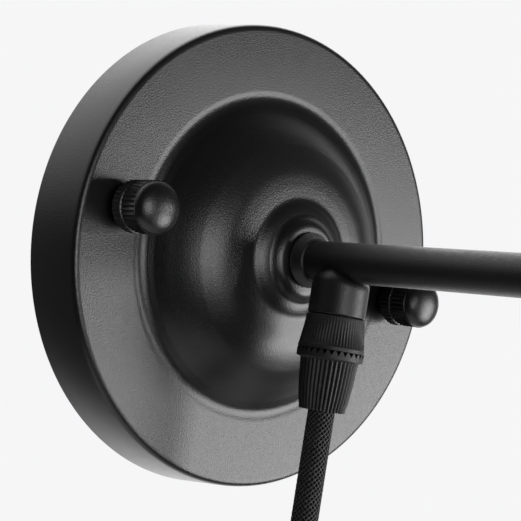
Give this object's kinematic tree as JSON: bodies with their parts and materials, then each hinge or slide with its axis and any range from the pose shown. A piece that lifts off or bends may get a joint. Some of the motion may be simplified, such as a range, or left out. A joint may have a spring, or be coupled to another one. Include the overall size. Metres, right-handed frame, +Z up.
{
  "type": "swing arm wall sconce",
  "caption": "Black wall sconce with a round domed canopy, a straight wall arm with a cord inlet under it, a swing elbow, an outer arm, a tilting metal shade and a switched mains cord.",
  "frame": {"origin": "centre of the wall bracket's back, on the wall plane and on the wall arm's axis", "axes": "+Y points into the wall and the arms reach out along -Y, +Z is up, +X is to the right seen from the room"},
  "size_m": [0.1571, 0.405, 0.3854],
  "materials": {
    "black_powder_coat": "satin black powder coat, fine grain",
    "black_plastic": "matte moulded",
    "black_fabric": "braided textile",
    "zinc_steel": "zinc plated",
    "brass": "satin",
    "fibre": "matte",
    "white_ceramic": "glazed ceramic",
    "lead_sheath": "smooth sheath"
  },
  "bodies": {
    "wall_unit": {"canopy": "black_powder_coat", "wall_bracket": "zinc_steel", "stud_screw_left": "zinc_steel", "stud_nut_left": "zinc_steel", "thumb_nut_left": "black_powder_coat", "stud_screw_right": "zinc_steel", "stud_nut_right": "zinc_steel", "thumb_nut_right": "black_powder_coat", "arm_nipple": "zinc_steel", "lock_washer": "zinc_steel", "lock_nut": "brass", "root_collar": "black_powder_coat", "wall_arm_tube": "black_powder_coat", "cord_inlet": "black_powder_coat", "grip_cup": "black_plastic", "grip_bush": "fibre", "grip_sleeve": "black_plastic", "cord_in_grip": "black_fabric", "wall_arm_lead": "lead_sheath", "elbow_fixed_half": "black_powder_coat", "elbow_friction_washer": "fibre", "elbow_pivot_tube": "zinc_steel", "elbow_spring_washer": "zinc_steel", "elbow_pivot_nut": "zinc_steel", "cord_upper": "black_fabric", "cord_lower": "black_fabric", "cord_coil": "black_fabric", "cord_tail": "black_fabric", "cord_tie": "black_fabric", "switch_front_shell": "black_plastic", "switch_back_shell": "black_plastic", "switch_screw_upper": "zinc_steel", "switch_screw_lower": "zinc_steel", "plug_body": "black_plastic", "plug_blade_left": "brass", "plug_blade_right": "brass"},
    "outer_arm": {"elbow_turning_half": "black_powder_coat", "elbow_cap": "black_powder_coat", "outer_arm_tube": "black_powder_coat", "outer_arm_lead": "lead_sheath", "tilt_fixed_half": "black_powder_coat", "tilt_friction_washer": "fibre", "tilt_pivot_tube": "zinc_steel", "tilt_spring_washer": "zinc_steel", "tilt_pivot_nut": "zinc_steel"},
    "head": {"tilt_turning_half": "black_powder_coat", "tilt_cap": "black_powder_coat", "neck_tube": "black_powder_coat", "lampholder_cap": "black_powder_coat", "lampholder_body": "white_ceramic", "lampholder_screw_shell": "brass", "centre_contact": "brass", "shade": "black_powder_coat", "shade_ring": "black_plastic", "head_lead": "lead_sheath"},
    "rocker": {"switch_rocker": "black_plastic"}
  },
  "joints": [
    {"name": "arm_swing", "type": "hinge", "parent": "wall_unit", "child": "outer_arm", "pos_m": [0, -0.155, 0], "axis": [0, 0, 1], "range_deg": [-90, 90]},
    {"name": "head_tilt", "type": "hinge", "parent": "outer_arm", "child": "head", "pos_m": [0, -0.34, 0.0185], "axis": [1, 0, 0], "range_deg": [-90, 45]},
    {"name": "rocker_press", "type": "hinge", "parent": "wall_unit", "child": "rocker", "pos_m": [0, -0.0538, -0.111], "axis": [1, 0, 0], "range_deg": [-16, 0]}
  ]
}
